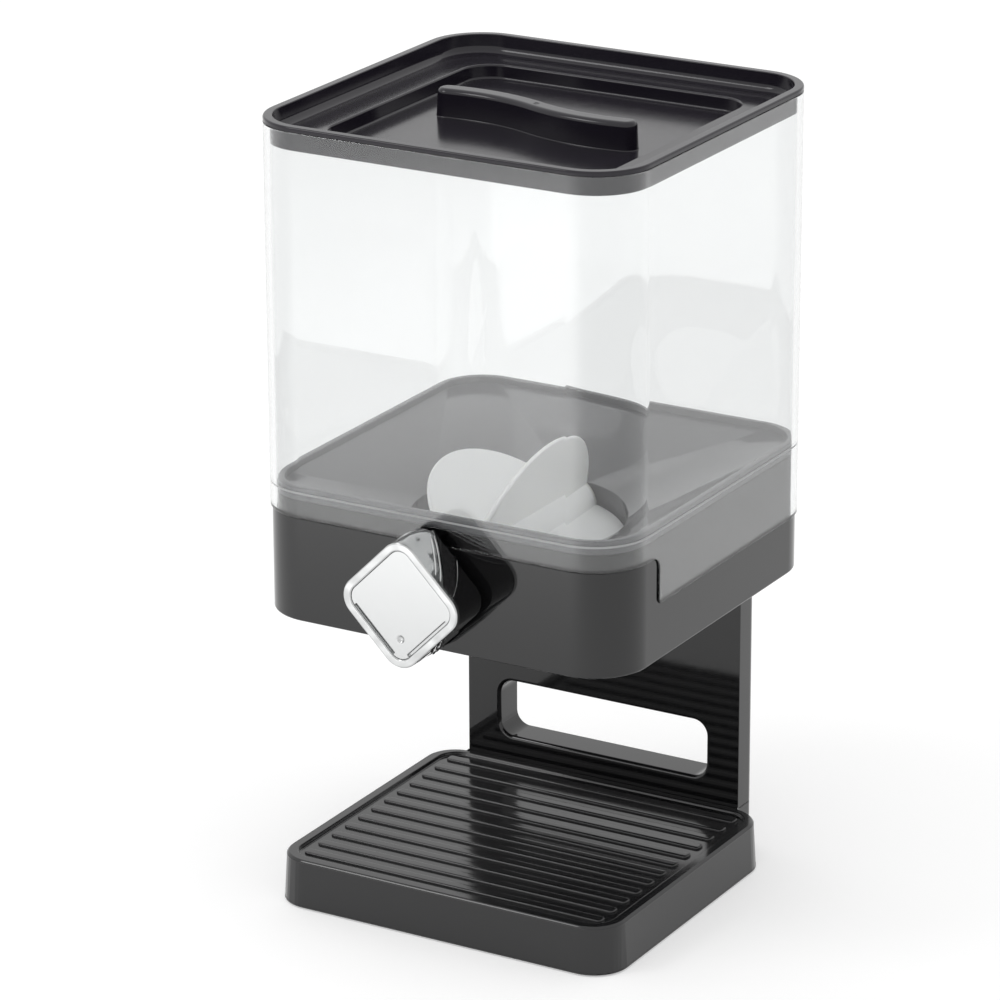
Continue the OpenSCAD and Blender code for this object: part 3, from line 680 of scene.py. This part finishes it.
def is_tray_floor(face):
    """True for the tray's floor and the CAD's ribs on it, and not for the upright lip round the tray."""
    points = [v.co / MM for v in face.verts]
    heights = [p.z for p in points]
    inside = all(
        abs(p.x) < TRAY_HALF_W + NEAR and TRAY_FRONT - NEAR < p.y < TRAY_BACK + NEAR for p in points
    )
    middle = face.calc_center_median().z / MM
    at_floor = min(heights) > TRAY_Z - 0.2 and middle < TRAY_Z + RIB_H + 0.1
    return inside and at_floor and max(heights) - min(heights) <= TRAY_LIP_MIN


def build_base():
    """Base block with an open tray; its ribs are made by build_ribs."""
    bm = cad_copy("base")
    bmesh.ops.delete(bm, geom=[f for f in bm.faces if is_tray_floor(f)], context="FACES")
    bmesh.ops.contextual_create(bm, geom=[e for e in bm.edges if e.is_boundary])
    as_piece("base_moulding", bm, "base", ["base"], bevel=0.8, segments=5)


def rib_object():
    """One flat tray rib along X with round corners and a small round edge, its foot just under the tray's floor."""
    bm = bmesh.new()
    section = rounded_path([(0.0, -0.25, 0), (0.0, RIB_H, RIB_EDGE), (RIB_EDGE * 2, RIB_H, 0)], steps=6)
    rings = []
    for inset, z in section:
        outline = rounded_square(RIB_HALF_L - inset, RIB_HALF_W - inset, RIB_CORNER - inset, steps=8)
        rings.append([(x, y, z) for x, y in outline])
    loft(bm, rings)
    mesh = mesh_from("tray rib", bm)
    shade(mesh, sharp_from=40)
    return bpy.data.objects.new("tray_rib", mesh)


def rib_row_tree():
    """Geometry nodes: a rib repeated along Y at a pitch, then made real with one material."""
    tree = bpy.data.node_groups.new("tray rib row", "GeometryNodeTree")
    for name, kind in (
        ("Rib", "NodeSocketObject"), ("Count", "NodeSocketInt"), ("Pitch", "NodeSocketFloat"),
        ("First", "NodeSocketVector"), ("Finish", "NodeSocketMaterial"),
    ):
        tree.interface.new_socket(name, in_out="INPUT", socket_type=kind)
    tree.interface.new_socket("Geometry", in_out="OUTPUT", socket_type="NodeSocketGeometry")
    given = add_node(tree, "NodeGroupInput").outputs
    step = add_node(tree, "ShaderNodeCombineXYZ", Y=given["Pitch"]).outputs["Vector"]
    row = add_node(
        tree, "GeometryNodeMeshLine", {"mode": "OFFSET"},
        Count=given["Count"], Start_Location=given["First"], Offset=step,
    ).outputs["Mesh"]
    rib = add_node(tree, "GeometryNodeObjectInfo", Object=given["Rib"]).outputs["Geometry"]
    placed = add_node(tree, "GeometryNodeInstanceOnPoints", Points=row, Instance=rib).outputs["Instances"]
    real = add_node(tree, "GeometryNodeRealizeInstances", Geometry=placed).outputs["Geometry"]
    dressed = add_node(tree, "GeometryNodeSetMaterial", Geometry=real, Material=given["Finish"])
    add_node(tree, "NodeGroupOutput", Geometry=dressed.outputs["Geometry"])
    return tree


def build_ribs():
    """The row of tray ribs."""
    ribs = add_object("tray_ribs", bpy.data.meshes.new("tray ribs"))
    tree = rib_row_tree()
    row = ribs.modifiers.new("row", "NODES")
    row.node_group = tree
    first_y = (TRAY_BACK + TRAY_FRONT) / 2 - (RIB_COUNT - 1) / 2 * RIB_PITCH
    values = {
        "Rib": rib_object(), "Count": RIB_COUNT, "Pitch": RIB_PITCH * MM,
        "First": (0.0, first_y * MM, TRAY_Z * MM), "Finish": FINISH["base"],
    }
    for item in tree.interface.items_tree:
        if item.in_out == "INPUT":
            row[item.identifier] = values[item.name]
    bake_modifiers(ribs)
    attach(ribs, BODY_OF["base"])


build_lid()
build_canister()
build_housing()
build_hopper()
build_knob()
# A plated line on the black core, standing in for the highlight along its step: painted highlight.
build_knob_lines("knob_core_lines", "knob_core", "plate", CORE_ARC, CORE_HIGHLIGHT_LINES)
build_knob_lines("knob_skirt_beads", "knob_shell", "chrome", SHELL_ARC, SKIRT_BEADS)
build_wheel()
build_column()
build_base()
build_ribs()


# ---------------------------------------------------------------------------------------------
# Studio

FLOOR_HALF = 8.0
# How much the table glows to a ray that is seen, and how strong the surroundings are as light.
FLOOR_GLOW = 0.36
WORLD_LIGHT = 0.94


def build_camera():
    """The camera, front right and above."""
    focal_px = 4919.6
    frame_px = 1000
    sensor_mm = 36.0
    yaw = math.radians(29.54)
    pitch = math.radians(19.62)
    camera = add_object("camera", bpy.data.cameras.new("camera"))
    camera.data.sensor_width = sensor_mm
    camera.data.lens = focal_px * sensor_mm / frame_px
    camera.data.shift_x = -0.06
    camera.data.clip_end = 50
    camera.location = (0.9389, -1.6263, 0.8374)
    camera.rotation_euler = (math.pi / 2 - pitch, 0, yaw)
    bpy.context.scene.camera = camera


def seen_ray(tree):
    """1 for rays from the camera, off gloss or metal and through clear walls; 0 for rays that only carry light."""
    path = add_node(tree, "ShaderNodeLightPath").outputs
    return larger(tree, larger(tree, path["Is Camera Ray"], path["Is Transmission Ray"]), path["Is Glossy Ray"])


def build_floor():
    """A wide white table: it's lightened to the eye, in gloss and through clear walls, and keeps its shadow."""
    half = FLOOR_HALF
    mesh = bpy.data.meshes.new("floor")
    mesh.from_pydata([(-half, -half, 0), (half, -half, 0), (half, half, 0), (-half, half, 0)], [], [(0, 1, 2, 3)])
    floor = add_object("floor", mesh)
    material, tree = new_material("white table")
    diffuse = add_node(tree, "ShaderNodeBsdfDiffuse", Color=srgb("dedede")).outputs["BSDF"]
    lift = add_node(tree, "ShaderNodeMath", {"operation": "MULTIPLY"}, i0=seen_ray(tree), i1=FLOOR_GLOW)
    glow = add_node(tree, "ShaderNodeEmission", Color=srgb("ffffff"), Strength=lift.outputs["Value"])
    both = add_node(tree, "ShaderNodeAddShader", i0=diffuse, i1=glow.outputs["Emission"])
    surface(tree, both.outputs["Shader"])
    mesh.materials.append(material)


def build_world():
    """Even surroundings: white to the eye, in gloss and through clear walls, and a little lower as light."""
    world = bpy.data.worlds.new("studio")
    bpy.context.scene.world = world
    world.use_nodes = True
    tree = world.node_tree
    tree.nodes.clear()
    strength = add_node(tree, "ShaderNodeMapRange", Value=seen_ray(tree), To_Min=WORLD_LIGHT, To_Max=1.0)
    light = add_node(tree, "ShaderNodeBackground", Color=srgb("ffffff"), Strength=strength.outputs["Result"])
    add_node(tree, "ShaderNodeOutputWorld", Surface=light.outputs["Background"])


def area_lamp(name, size, energy, place, aim):
    """A soft square lamp at a place, facing aim, that the camera itself doesn't see."""
    lamp = bpy.data.lights.new(name, "AREA")
    lamp.shape = "SQUARE"
    lamp.size = size
    lamp.energy = energy
    holder = add_object(name, lamp)
    holder.location = place
    holder.rotation_euler = (Vector(aim) - Vector(place)).to_track_quat("-Z", "Y").to_euler()
    holder.visible_camera = False


def build_lamps():
    """A key lamp over the front left, and a low one that lights the table ahead, for the gloss to mirror."""
    area_lamp("key", size=0.6, energy=5.5, place=(-1.2, -1.2, 1.8), aim=(0, 0, 0.15))
    area_lamp("table light", size=0.6, energy=2.7, place=(-0.3, -0.8, 0.2), aim=(-0.3, -0.8, 0))


build_camera()
build_floor()
build_world()
build_lamps()
bpy.context.scene.view_settings.view_transform = "Standard"
